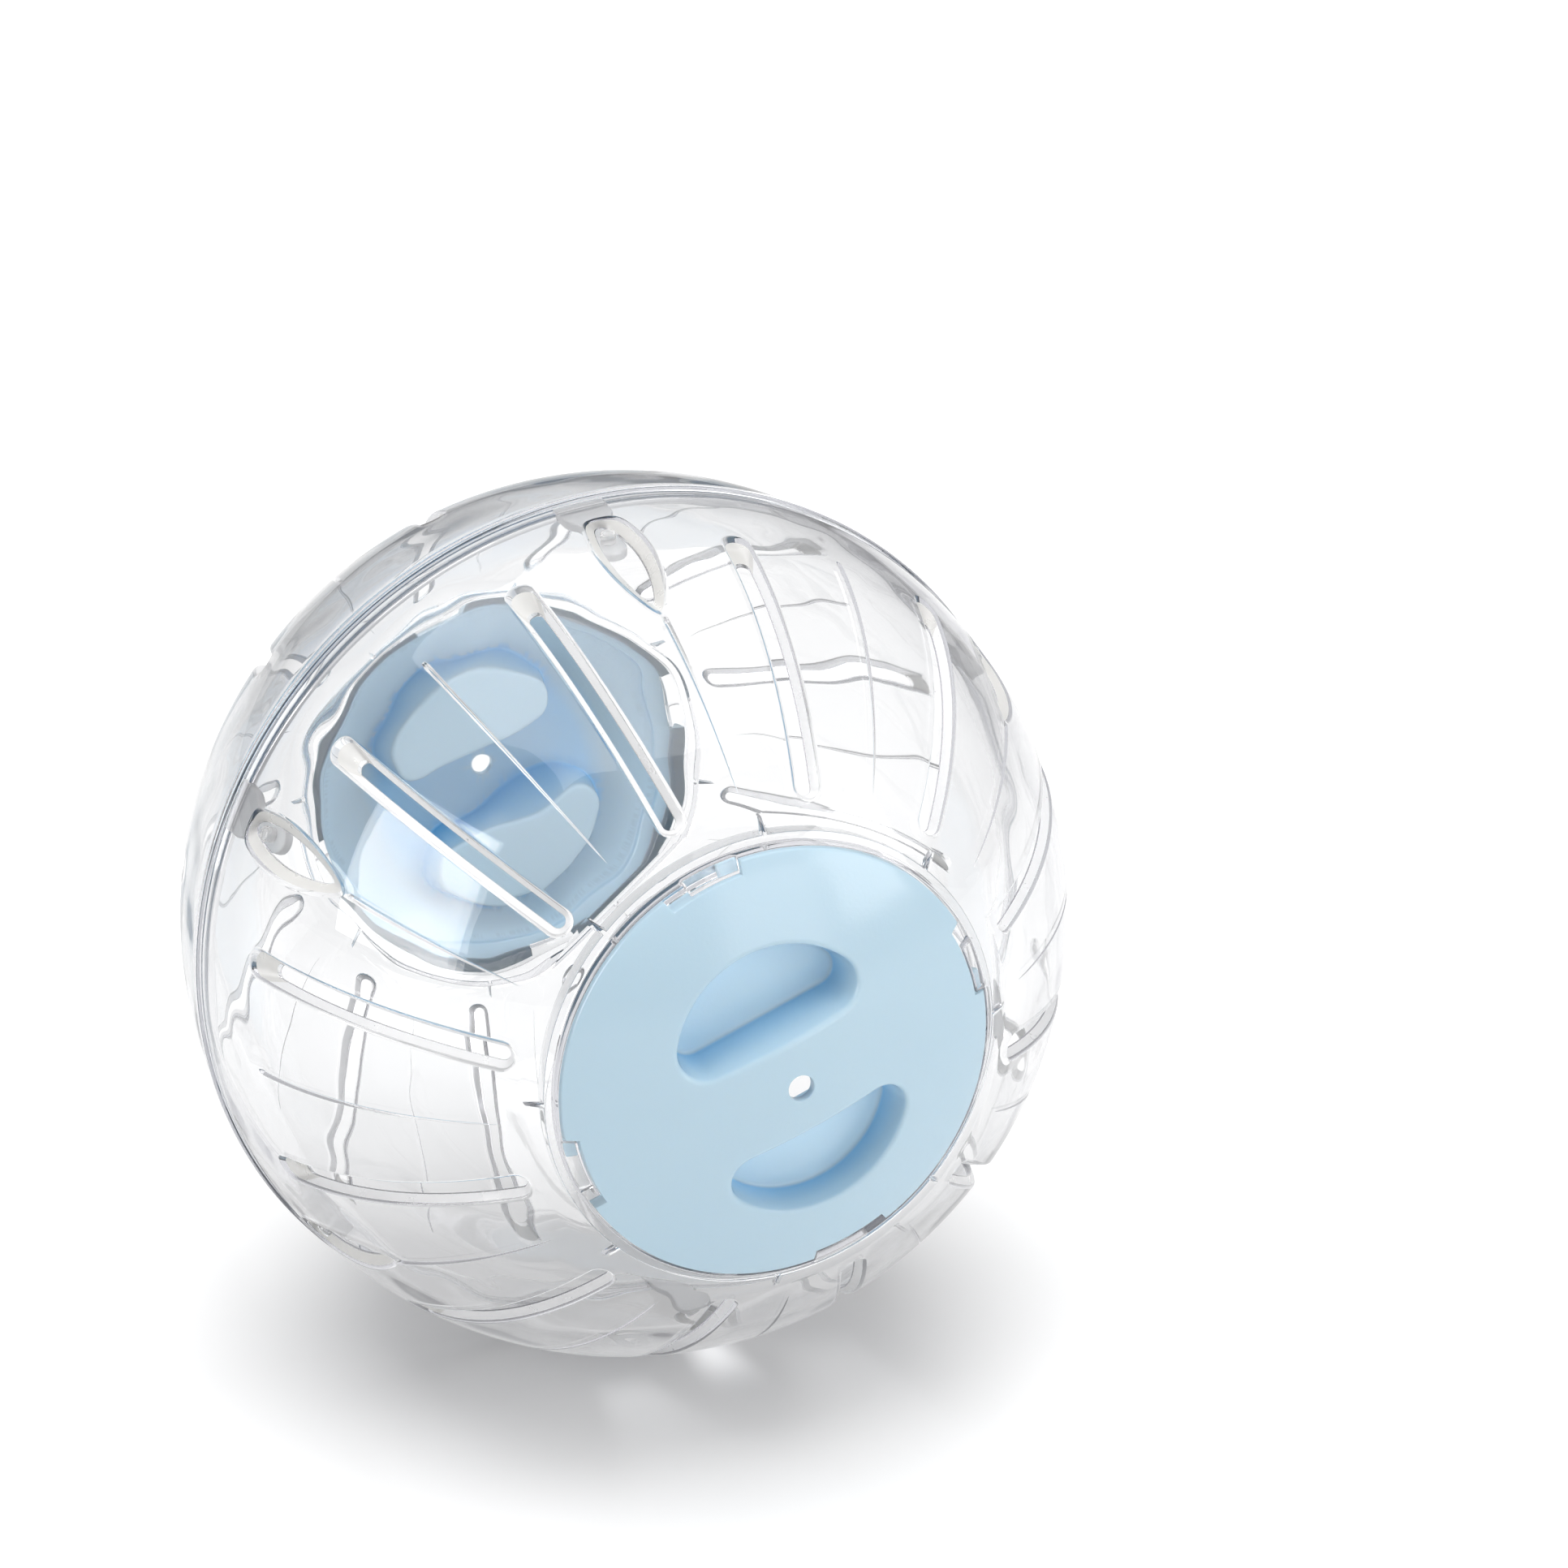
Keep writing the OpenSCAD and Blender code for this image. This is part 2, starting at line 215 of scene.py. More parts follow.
# Room. Levels of the sky as stops of height and level: what the picture shows, and what lights the ball
FLOOR_HALF = 6.0
FLOOR_COLOUR = (0.93, 0.93, 0.93)
FLOOR_BEHIND_GLASS = (0.5, 0.5, 0.5)
FLOOR_GLOW = 0.12
FAR_FLOOR_GLOW = 0.95
GLASS_GLOW = 0.45
SKY = ((0.0, 0.3), (0.2, 0.45), (0.6, 1.0))
SKY_LIGHT = ((0.0, 0.12), (0.5, 0.4), (1.0, 1.0))
SKY_LIGHT_STRENGTH = 0.6
SKY_TINT = (0.99, 0.995, 1.02)

# Lamps that face the ball: name, place and size in metres, power in watts
LAMPS = (
    ("left_lamp", (-0.79, -0.13, 0.3), (0.5, 0.5), 1.5),
    ("front_lamp", (0.3, -0.98, 0.3), (0.5, 0.5), 1.6),
    ("right_lamp", (0.85, -0.8, 0.45), (0.5, 0.5), 3.1),
    ("top_lamp", (0.0, 0.1, 1.15), (1.5, 1.5), 18.0),
    ("window_card", (-0.78, -0.14, 0.3), (0.54, 0.52), 3.6),
)

# Camera, as fitted to the photograph
SENSOR_W = 36.0
LENS = 105.47
CAMERA_AT = (-0.2395, -0.6165, 0.2885)
CAMERA_RIGHT = (0.9178, -0.3970, 0.0)
CAMERA_FORWARD = (0.3681, 0.8511, -0.3744)


def dome_z(sphere_r, r):
    return math.sqrt(sphere_r * sphere_r - r * r)


def polar_of(length, radius=SHELL_R):
    return math.degrees(length / radius)


def on_sphere(azimuth, polar, radius):
    a, p = np.radians(azimuth), np.radians(polar)
    return np.stack([radius * np.sin(p) * np.cos(a), radius * np.sin(p) * np.sin(a), radius * np.cos(p)], axis=-1)


def turned(points, azimuth):
    """Points turned about the local pole axis."""
    c, s = math.cos(math.radians(azimuth)), math.sin(math.radians(azimuth))
    p = np.asarray(points, float)
    return np.stack([p[..., 0] * c - p[..., 1] * s, p[..., 0] * s + p[..., 1] * c, p[..., 2]], axis=-1)


def to_row(points, rear):
    """From a half's local frame, in millimetres, to the row frame, in metres."""
    p = np.array(points, float)
    if rear:
        p[:, 1:] *= -1
    p = turned(p, ROLL)
    return np.stack([p[:, 0], -p[:, 2], p[:, 1]], axis=-1) * MM


class Pieces:
    """Collects the points and faces of one mesh in a half's local frame."""

    def __init__(self):
        self.points, self.depths, self.faces, self.slots, self.count = [], [], [], [], 0

    def add(self, points, faces, slot=CLEAR, depth=0.0):
        """depth is the painted shading at the points: 1 is painted shade by the walls of a hollow, -1 is painted
        light on its floor.
        """
        points = np.asarray(points, float).reshape(-1, 3)
        self.points.append(points)
        self.depths.append(np.broadcast_to(depth, len(points)))
        self.faces += [tuple(int(i) + self.count for i in f) for f in faces]
        self.slots += [slot] * len(faces)
        self.count += len(points)

    def rows(self, rows, slots=None, depths=0.0):
        """A closed strip of quads between rows of as many points. slots: a finish per face, depths: the painted
        shade or painted light of each row.
        """
        rows = np.asarray(rows, float)
        n, m = rows.shape[:2]
        faces = [
            (i * m + j, i * m + (j + 1) % m, (i + 1) * m + (j + 1) % m, (i + 1) * m + j)
            for i in range(n - 1)
            for j in range(m)
        ]
        self.add(rows.reshape(-1, 3), faces, depth=np.repeat(np.broadcast_to(depths, n), m))
        if slots is not None:
            self.slots[-len(faces):] = [slots[i][j] for i in range(n - 1) for j in range(m)]

    def copies(self, other, turns):
        """Adds another set of pieces once for each turn about the pole axis."""
        points = np.vstack(other.points)
        for turn in turns:
            base = self.count
            self.points.append(turned(points, turn))
            self.depths += other.depths
            self.faces += [tuple(i + base for i in f) for f in other.faces]
            self.slots += other.slots
            self.count += len(points)

    def to_object(self, name, rear, material, skins=()):
        """The finished object. Points on the spheres named in skins get the sphere's own normal, with its sign."""
        bm = bmesh.new()
        # Painted shading of the door's colour at each point: painted shade or painted light
        painted_shading = bm.verts.layers.float.new("painted_shading")
        verts = [bm.verts.new(p) for p in to_row(np.vstack(self.points), rear)]
        for vert, depth in zip(verts, np.concatenate(self.depths)):
            vert[painted_shading] = depth
        for f, slot in zip(self.faces, self.slots):
            if len(set(f)) > 2:
                face = bm.faces.new([verts[i] for i in dict.fromkeys(f)])
                face.material_index = slot
                face.smooth = True
        bmesh.ops.remove_doubles(bm, verts=bm.verts, dist=WELD * MM)
        bmesh.ops.dissolve_degenerate(bm, edges=bm.edges, dist=SLIVER * MM)
        bmesh.ops.recalc_face_normals(bm, faces=bm.faces)
        open_edges = sum(1 for e in bm.edges if not e.is_manifold)
        mesh = bpy.data.meshes.new(name)
        bm.to_mesh(mesh)
        bm.free()
        print(name, "faces", len(mesh.polygons), "open edges", open_edges)
        if skins:
            give_normals(mesh, skins)
        slots = np.empty(len(mesh.polygons), np.int32)
        mesh.polygons.foreach_get("material_index", slots)
        for finish, those in (("wavy", slots == WAVY), ("frosted", slots >= BEVEL), ("pale", slots == PALE)):
            mesh.attributes.new(finish, "FLOAT", "FACE").data.foreach_set("value", those.astype(np.float32))
        mesh.polygons.foreach_set("material_index", np.zeros(len(slots), np.int32))
        mesh.materials.append(material)
        obj = bpy.data.objects.new(name, mesh)
        bpy.context.scene.collection.objects.link(obj)
        return obj


def give_normals(mesh, skins):
    """Custom normals. Points that lie on a sphere named in skins, and face along it, get the sphere's own."""
    n = len(mesh.vertices)
    co, normals = np.empty(n * 3, np.float32), np.empty(n * 3, np.float32)
    mesh.vertices.foreach_get("co", co)
    mesh.vertex_normals.foreach_get("vector", normals)
    co, normals = co.reshape(-1, 3).astype(float), normals.reshape(-1, 3).astype(float)
    r = np.linalg.norm(co, axis=1)
    for radius, sign in skins:
        on = np.abs(r - radius * MM) < ON_SKIN * MM
        radial = sign * co[on] / r[on][:, None]
        facing = (normals[on] * radial).sum(axis=1) > ALONG_SKIN
        kept = normals[on]
        kept[facing] = radial[facing]
        normals[on] = kept
    mesh.normals_split_custom_set_from_vertices([tuple(v) for v in normals])


# Outlines

def bezier(a, b, c, n):
    """n + 1 points on the curve from a to c that heads for b."""
    t = np.linspace(0, 1, n + 1).reshape(-1, *([1] * np.ndim(a)))
    return (1 - t) ** 2 * a + 2 * t * (1 - t) * b + t**2 * c


def profile(corners, n=3):
    """A polyline with rounded corners. Each corner is (radius, height, rounding). The ends are kept."""
    most = 0.45  # of a side, so that the roundings at its two ends never meet
    pts = [np.array(c[:2], float) for c in corners]
    out = [pts[0]]
    for i in range(1, len(pts) - 1):
        here, rounding = pts[i], corners[i][2]
        if rounding == 0:
            out.append(here)
            continue
        a, c = (here + (end - here) * min(most, rounding / max(np.linalg.norm(end - here), 1e-9))
                for end in (pts[i - 1], pts[i + 1]))
        out += list(bezier(a, here, c, n))
    out.append(pts[-1])
    return np.array(out)


def revolve(profiles, columns):
    """Rows round the pole axis. profiles holds one profile per column, or one for all."""
    angles = np.radians(np.arange(columns) * 360 / columns)
    p = np.array(profiles, float)
    if p.ndim == 2:
        p = np.broadcast_to(p, (columns, *p.shape))
    x = p[..., 0] * np.cos(angles)[:, None]
    y = p[..., 0] * np.sin(angles)[:, None]
    return np.stack([x, y, p[..., 1]], axis=-1).transpose(1, 0, 2)


def soften(loop, passes):
    """A closed loop with its corners rounded."""
    for _ in range(passes):
        loop = (np.roll(loop, 1, axis=0) + 2 * loop + np.roll(loop, -1, axis=0)) / 4
    return loop


def grown(loop, margin):
    """A closed loop moved outward by a margin; the loop runs anticlockwise."""
    along = np.roll(loop, -1, axis=0) - np.roll(loop, 1, axis=0)
    along /= np.linalg.norm(along, axis=1)[:, None]
    return loop + margin * np.stack([along[:, 1], -along[:, 0]], axis=1)


def evenly(loop, n):
    """A closed loop with n points at even distances."""
    closed = np.vstack([loop, loop[:1]])
    step = np.linalg.norm(np.diff(closed, axis=0), axis=1)
    at = np.concatenate([[0], np.cumsum(step)])
    want = np.linspace(0, at[-1], n, endpoint=False)
    return np.stack([np.interp(want, at, closed[:, k]) for k in range(2)], axis=1)


def inside(points, loop):
    """Which points lie inside a closed loop."""
    x, y = points[:, 0][:, None], points[:, 1][:, None]
    a, b = loop, np.roll(loop, -1, axis=0)
    crosses = (a[:, 1] > y) != (b[:, 1] > y)
    rise = np.where(b[:, 1] == a[:, 1], 1e-12, b[:, 1] - a[:, 1])
    left = x < (b[:, 0] - a[:, 0]) * (y - a[:, 1]) / rise + a[:, 0]
    return (crosses & left).sum(axis=1) % 2 == 1


def patch(border, holes=(), lines=(), rings=(), spacing=1.2, margin=0.6):
    """Triangles that fill a border, round its holes and along its lines. Returns flat points and triangles."""
    loops = [border, *holes, *rings]
    fixed = np.vstack([*loops, *lines])
    low, high = border.min(axis=0), border.max(axis=0)
    row_step = spacing * 0.87  # rows of nearly equal-sided triangles
    xs = np.arange(low[0] + spacing / 2, high[0], spacing)
    ys = np.arange(low[1] + spacing / 2, high[1], row_step)
    free = np.array([(x + (k % 2) * spacing / 2, y) for k, y in enumerate(ys) for x in xs])
    free = free[inside(free, border)]
    for hole in holes:
        free = free[~inside(free, hole)]
    if len(free):
        near = np.array([np.min(np.sum((fixed - p) ** 2, axis=1)) for p in free])
        free = free[near > margin**2]
    points, edges, base = np.vstack([fixed, free]), [], 0
    for loop in loops:
        edges += [(base + i, base + (i + 1) % len(loop)) for i in range(len(loop))]
        base += len(loop)
    for line in lines:
        edges += [(base + i, base + i + 1) for i in range(len(line) - 1)]
        base += len(line)
    verts, _, faces, *_ = delaunay_2d_cdt([tuple(p) for p in points], edges, [], 0, 1e-5)
    verts, faces = np.array([tuple(v) for v in verts]), np.array([tuple(f) for f in faces])
    middle = verts[faces].mean(axis=1)
    keep = inside(middle, border)
    for hole in holes:
        keep &= ~inside(middle, hole)
    return verts, faces[keep]


# Clear half shells

STRETCH = 0.88  # width of a degree of azimuth on the flat chart, beside a degree of polar angle


def chart(azimuth, polar):
    return np.stack([np.asarray(azimuth) * STRETCH, np.asarray(polar)], axis=-1)


def slot_outline(half_w, start, end, centre, radius):
    """Azimuths and polar angles round a slot: straight along the meridian, with round ends."""
    turn = np.radians(np.linspace(0, 180, SLOT_TIP, endpoint=False))
    side, cap = np.ones(SLOT_SIDE), polar_of(1, radius) * half_w * np.sin(turn)
    polar = np.concatenate([np.linspace(start, end, SLOT_SIDE, endpoint=False), end + cap,
                            np.linspace(end, start, SLOT_SIDE, endpoint=False), start - cap])
    across = half_w * np.concatenate([side, np.cos(turn), -side, -np.cos(turn)])
    azimuth = centre + np.degrees(np.arcsin(across / (radius * np.sin(np.radians(polar)))))
    return azimuth, polar


def window_outline(width, tip, centre, radius, grow):
    """Azimuths and polar angles round a latch window: a leaf with arcs as flanks, a rounded tip and a flat base."""
    half_w = width / 2
    reach = math.radians(WINDOW_WIDEST - tip) * radius
    flank_r = (reach**2 + half_w**2) / width
    along = np.linspace(math.radians(WINDOW_WIDEST - WINDOW_BASE) * radius, reach, 26)
    half = np.sqrt(flank_r**2 - along**2) - (flank_r - half_w)
    right = np.stack([half, along], axis=1)
    left = np.stack([-half[-2::-1], along[-2::-1]], axis=1)
    bottom = np.stack([np.linspace(-half[0], half[0], 10)[1:-1], np.full(8, along[0])], axis=1)
    loop = grown(soften(evenly(np.vstack([right, left, bottom]), WINDOW_POINTS), 8), grow)
    polar = WINDOW_WIDEST - polar_of(1, radius) * loop[:, 1]
    azimuth = centre + np.degrees(np.arcsin(loop[:, 0] / (radius * np.sin(np.radians(polar)))))
    return azimuth, polar


def slot_edge(centre, outside, grow):
    """Outline of a slot on the outer or inner skin, grown by a margin."""
    start = SLOT_START + polar_of(SLOT_OUT_W / 2)
    if outside:
        return slot_outline(SLOT_OUT_W / 2 + grow, start, SLOT_END - polar_of(SLOT_OUT_W / 2), centre, SHELL_R)
    end = SLOT_END - SLOT_RAMP - polar_of(SLOT_IN_W / 2, INNER_R)
    return slot_outline(SLOT_IN_W / 2 + grow, start, end, centre, INNER_R)


def window_edge(centre, outside, grow):
    """Outline of a latch window on the outer or inner skin, grown by a margin."""
    if outside:
        return window_outline(WINDOW_OUT_W, WINDOW_TIP, centre, SHELL_R, grow)
    return window_outline(WINDOW_IN_W, WINDOW_TIP_IN, centre, INNER_R, grow)


def through_hole(pieces, edge, centre, finish):
    """The wall of an opening, with clear rounded edges. Returns its outlines on the charts of the two skins."""
    outer_skin, outer_edge = (on_sphere(*edge(centre, True, grow), SHELL_R) for grow in (ROUND_OUT, 0))
    inner_edge, inner_skin = (on_sphere(*edge(centre, False, grow), INNER_R) for grow in (0, ROUND_IN))
    drop = inner_edge - outer_edge
    first, middle, last = (outer_edge + share * drop for share in WALL_ROWS)
    rows = [*bezier(outer_skin, outer_edge, first, 4), middle, *bezier(last, inner_edge, inner_skin, 4)]
    rounded = [[CLEAR] * len(finish)] * 4
    pieces.rows(rows, [*rounded, finish, finish, *rounded])
    return chart(*edge(centre, True, ROUND_OUT)), chart(*edge(centre, False, ROUND_IN))


def groove_half_width(polar, start, end, head):
    """Half the width of a needle groove: it grows from its point to a round head near the seam."""
    t = np.clip((polar - start) / (end - start), 0, 1)
    half = GROOVE_HALF * (GROOVE_POINT + (1 - GROOVE_POINT) * t) * np.clip(t * 12, 0, 1) ** 0.6
    if head:
        cap = polar_of(GROOVE_HALF) * GROOVE_CAP
        half = half * np.sqrt(np.clip(1 - np.clip((polar - (end - cap)) / cap, 0, 1) ** 2, 0, 1))
    return half


# Cross-section of a groove: place across it and depth, both as shares of half its width
GROOVE_ACROSS = (-1.0, -0.78, -0.25, 0.0, 0.25, 0.78, 1.0)
GROOVE_DEPTH = (0.0, 0.16, 0.72, 0.8, 0.72, 0.16, 0.0)


def groove_lines(centre, start, end, head):
    """Lines along a groove on the chart. The middle one runs on to both of its ends."""
    polar = np.linspace(start + LINE_INSET[0], end - LINE_INSET[1], 44)
    half = groove_half_width(polar, start, end, head)
    lines = []
    for share in GROOVE_ACROSS:
        azimuth = centre + np.degrees(share * half / (SHELL_R * np.sin(np.radians(polar))))
        lines.append(chart(azimuth, polar))
    lines[3] = np.vstack([chart([centre], [start]), lines[3], chart([centre], [end])])
    return lines


def groove_dip(azimuth, polar, centre, start, end, head):
    """Depth of a needle groove below the outer skin."""
    half = np.maximum(groove_half_width(polar, start, end, head), 1e-4)
    across = np.radians(azimuth - centre) * SHELL_R * np.sin(np.radians(polar)) / half
    depth = np.interp(across, GROOVE_ACROSS, GROOVE_DEPTH, left=0, right=0)
    in_groove = (polar > start + DIP_INSET[0]) & (polar < end - DIP_INSET[1])
    return np.where(in_groove, depth * half * GROOVE_DEEPER, 0)


def sector_border(ring_polar, seam_polar):
    """Border of one sector of a skin on the chart, with the ring's and the seam's own divisions."""
    fine, coarse = int(FINE * SECTOR / 360), int(COARSE * SECTOR / 360)
    low, high = SECTOR_START, SECTOR_START + SECTOR
    sides = np.linspace(ring_polar, seam_polar, SECTOR_ROWS)[1:-1]
    return np.vstack([
        chart(np.linspace(low, high, fine + 1), np.full(fine + 1, ring_polar)),
        chart(np.full(len(sides), high), sides),
        chart(np.linspace(high, low, coarse + 1), np.full(coarse + 1, seam_polar)),
        chart(np.full(len(sides), low), sides[::-1]),
    ])


def skin_sector(rear):
    """One sixth of a half shell's two skins, with its slots, grooves and, on the front half, a latch window."""
    pieces = Pieces()
    latch_at = LATCH_AT if rear else -LATCH_AT
    short_end = WINDOW_TIP + SLOT_RAMP if rear else WINDOW_TIP - 0.1
    grooves = [(-latch_at, GROOVE_START, GROOVE_END, True), (latch_at, GROOVE_START, short_end, rear)]
    openings = [(slot_edge, centre, SLOT_FINISH) for centre in SLOT_AT]
    if not rear:
        openings.append((window_edge, latch_at, [BEVEL] * WINDOW_POINTS))
    outer_holes, inner_holes = zip(*[through_hole(pieces, *opening) for opening in openings])

    lines = [line for g in grooves for line in groove_lines(*g)]
    flat, faces = patch(sector_border(OUTER_RING, OUTER_SEAM), outer_holes, lines)
    azimuth, polar = flat[:, 0] / STRETCH, flat[:, 1]
    dip = sum(groove_dip(azimuth, polar, *g) for g in grooves)
    pieces.add(on_sphere(azimuth, polar, 1.0) * (SHELL_R - dip)[:, None], faces)

    flat, faces = patch(sector_border(INNER_RING, INNER_SEAM[rear]), inner_holes)
    pieces.add(on_sphere(flat[:, 0] / STRETCH, flat[:, 1], INNER_R), faces, WAVY)
    return pieces


def in_range(angle, start, width, count):
    """Whether an angle lies in one of count equal ranges round the axis, the first of them from start."""
    return (angle - start) % (360 / count) <= width


def corner(sphere_r, r, rounding=0):
    """A profile's corner on a sphere about the ball's centre."""
    return r, dome_z(sphere_r, r), rounding


def opening_profiles():
    """Profiles of the door opening, one per column, with the tabs and the gussets in their places.

    All have as many corners, so a column without a tab or a gusset has spare ones on its straight walls.
    """
    outer_r = SHELL_R * math.sin(math.radians(OUTER_RING))
    inner_r = INNER_R * math.sin(math.radians(INNER_RING))
    z_under, low = dome_z(TAB_UNDER, OPENING_R), dome_z(SEAT_BOTTOM, RING_R)
    profiles = []
    for k in range(FINE):
        angle = k * 360 / FINE
        if in_range(angle, TAB_TURN - TAB_ANGLE / 2, TAB_ANGLE, TABS):
            top = [corner(SHELL_R, TAB_R, 0.25), corner(TAB_UNDER, TAB_R, 0.25), (OPENING_R, z_under, 0.2)]
        else:
            top = [corner(SHELL_R, OPENING_R, 0.25), (OPENING_R, z_under + 0.5, 0.1), (OPENING_R, z_under, 0.1)]
        if in_range(angle, GUSSET_TURN - GUSSET_WIDTH / 2, GUSSET_WIDTH, GUSSETS):
            foot = [corner(GUSSET_SPHERE, RING_R, 0.12), corner(GUSSET_SPHERE, GUSSET_R, 0.2),
                    corner(INNER_R, GUSSET_R, 0.15)]
        else:
            foot = [(RING_R, low + 0.9, 0.12), (RING_R, low + 1.7, 0.12), corner(INNER_R, RING_R, 0.3)]
        profiles.append(profile([
            corner(SHELL_R, outer_r),
            corner(SHELL_R, OPENING_R + EASE),
            *top,
            corner(SEAT_TOP, OPENING_R, 0.3),
            corner(SEAT_TOP, SEAT_BORE_R, 0.25),
            corner(SEAT_BOTTOM, SEAT_BORE_R, 0.25),
            corner(SEAT_BOTTOM, RING_R, 0.25),
            *foot,
            corner(INNER_R, GUSSET_R + EASE / 2),
            corner(INNER_R, inner_r),
        ]))
    return profiles


def seam_profile(rear):
    """Profile of the seam, from the outer skin over the bead to the inner skin, with the lip on the rear half."""
    top, bottom = math.radians(OUTER_SEAM), math.radians(INNER_SEAM[rear])
    bead = [(BEAD_CENTRE + BEAD_R * math.cos(math.radians(a)), BEAD_R * math.sin(math.radians(a)), 0)
            for a in (66, 52, 38, 25, 13)]
    corners = [
        (SHELL_R * math.sin(top), SHELL_R * math.cos(top), 0),
        (dome_z(SHELL_R, BEAD_FOOT), BEAD_FOOT, 0),
        (dome_z(SHELL_R, BEAD_R), BEAD_R, 0.16),
        *bead,
        (BEAD_CENTRE + BEAD_R - 0.01, SEAM_GAP, 0.12),
        (SHELL_R, SEAM_GAP, 0),
    ]
    if rear:
        lip_in = LIP_OUT - LIP_WALL
        corners += [
            (LIP_OUT, SEAM_GAP, 0.15), (LIP_OUT, -LIP_REACH, 0.25), (lip_in, -LIP_REACH, 0.25), (lip_in, 0, 0),
            (lip_in, LIP_ROOT, 0.25), (dome_z(INNER_R, LIP_ROOT), LIP_ROOT, 0.25),
        ]
    else:
        corners += [(INNER_R, SEAM_GAP, 0.25)]
    corners += [(INNER_R * math.sin(bottom), INNER_R * math.cos(bottom), 0)]
    return profile(corners)


def half_shell(rear, material):
    """A half shell as one closed mesh: its two skins, the door opening and the seam."""
    whole = Pieces()
    whole.copies(skin_sector(rear), [i * SECTOR for i in range(SECTORS)])
    whole.rows(revolve(opening_profiles(), FINE))
    whole.rows(revolve(seam_profile(rear), COARSE))
    name = "rear_shell_clear" if rear else "front_shell_clear"
    return whole.to_object(name, rear, material, ((SHELL_R, 1), (INNER_R, -1)))


# Latch tongues

def tongue(pieces, turn):
    """A tongue with its pip, in the rear half's local frame."""
    (shoulder, base_half), (nose, nose_half) = (
        (TONGUE_R * math.cos(math.radians(polar)), width / 2)
        for polar, width in ((TONGUE_SHOULDER, TONGUE_BASE_W), (TONGUE_END, TONGUE_NOSE_W)))
    turns = np.radians(np.linspace(-90, 90, 24))[12:]
    outline = [(-base_half, -TONGUE_ROOT), (base_half, -TONGUE_ROOT)]
    outline += [(base_half * math.cos(a), shoulder - base_half + base_half * math.sin(a))
                for a in turns if base_half * math.cos(a) > nose_half]
    outline += [(nose_half * math.cos(a), nose - nose_half + nose_half * math.sin(a)) for a in turns]
    mirror = [(-x, y) for x, y in outline[2:-1]]
    loop = soften(evenly(np.array(outline + mirror[::-1]), 120), 4)

    def lay(flat, radius):
        """Flat points laid on a cylinder across the axis, at the tongue's place."""
        across, down = flat[:, 0], flat[:, 1]
        p = np.stack([np.sqrt(radius**2 - down**2), across, -down], axis=-1)
        return turned(p, turn)

    inner = TONGUE_R - TONGUE_WALL
    edge = grown(loop, -TONGUE_ROUND)
    rows = list(bezier(lay(edge, TONGUE_R), lay(loop, TONGUE_R), lay(loop, TONGUE_R - TONGUE_ROUND), 4))
    rows += list(bezier(lay(loop, inner + TONGUE_ROUND), lay(loop, inner), lay(edge, inner), 4))
    pieces.rows(rows, [[BEVEL] * len(loop)] * (len(rows) - 1))
    flat, faces = patch(edge)
    pieces.add(lay(flat, TONGUE_R), faces, BEVEL)
    pieces.add(lay(flat, inner), faces, BEVEL)
    section = profile([(0, PIP_TOP, 0), (PIP_R, PIP_TOP, 0.5), (PIP_R, PIP_FOOT, 0.1), (0, PIP_FOOT_MIDDLE, 0)])
    rings = revolve(section, 32)
    p = math.radians(PIP_POLAR)
    outward = rings[..., 2]
    x = outward * math.sin(p) + rings[..., 0] * math.cos(p)
    z = -(outward * math.cos(p) - rings[..., 0] * math.sin(p))
    pieces.rows(turned(np.stack([x, rings[..., 1], z], axis=-1), turn))


def latch_tongues(material):
    """The six tongues as one mesh."""
    pieces = Pieces()
    for i in range(SECTORS):
        tongue(pieces, LATCH_AT + i * SECTOR)
    return pieces.to_object("latch_tongues", True, material)


# Doors

def grip_outline():
    """Outline of a finger recess in the door's plane: straight by the axis, one arc on the far side."""
    side = GRIP_NEAR + GRIP_CORNER
    reach = GRIP_FAR - GRIP_CORNER
    arc_y = (reach**2 - side**2 - GRIP_HALF**2) / (2 * (reach - side))
    arc_r = GRIP_FAR - arc_y
    half_arc = math.asin(GRIP_HALF / (arc_r - GRIP_CORNER))
    arc = np.linspace(half_arc, -half_arc, 40)
    right = np.linspace(-math.pi / 2, math.pi / 2 - half_arc, 20, endpoint=False)
    loop = [(GRIP_HALF + GRIP_CORNER * math.cos(a), side + GRIP_CORNER * math.sin(a)) for a in right]
    loop += [(arc_r * math.sin(a), arc_y + arc_r * math.cos(a)) for a in arc]
    loop += [(-x, y) for x, y in loop[19::-1]]
    return evenly(np.array(loop), 140)


def circle(radius, count):
    a = np.arange(count) * 2 * math.pi / count
    return np.stack([radius * np.cos(a), radius * np.sin(a)], axis=1)


def lifted(flat, radius):
    """Flat points raised to a sphere about the ball's centre."""
    return np.column_stack([flat, np.sqrt(radius**2 - (flat**2).sum(axis=1))])


def level(flat, z):
    return np.column_stack([flat, np.full(len(flat), z)])


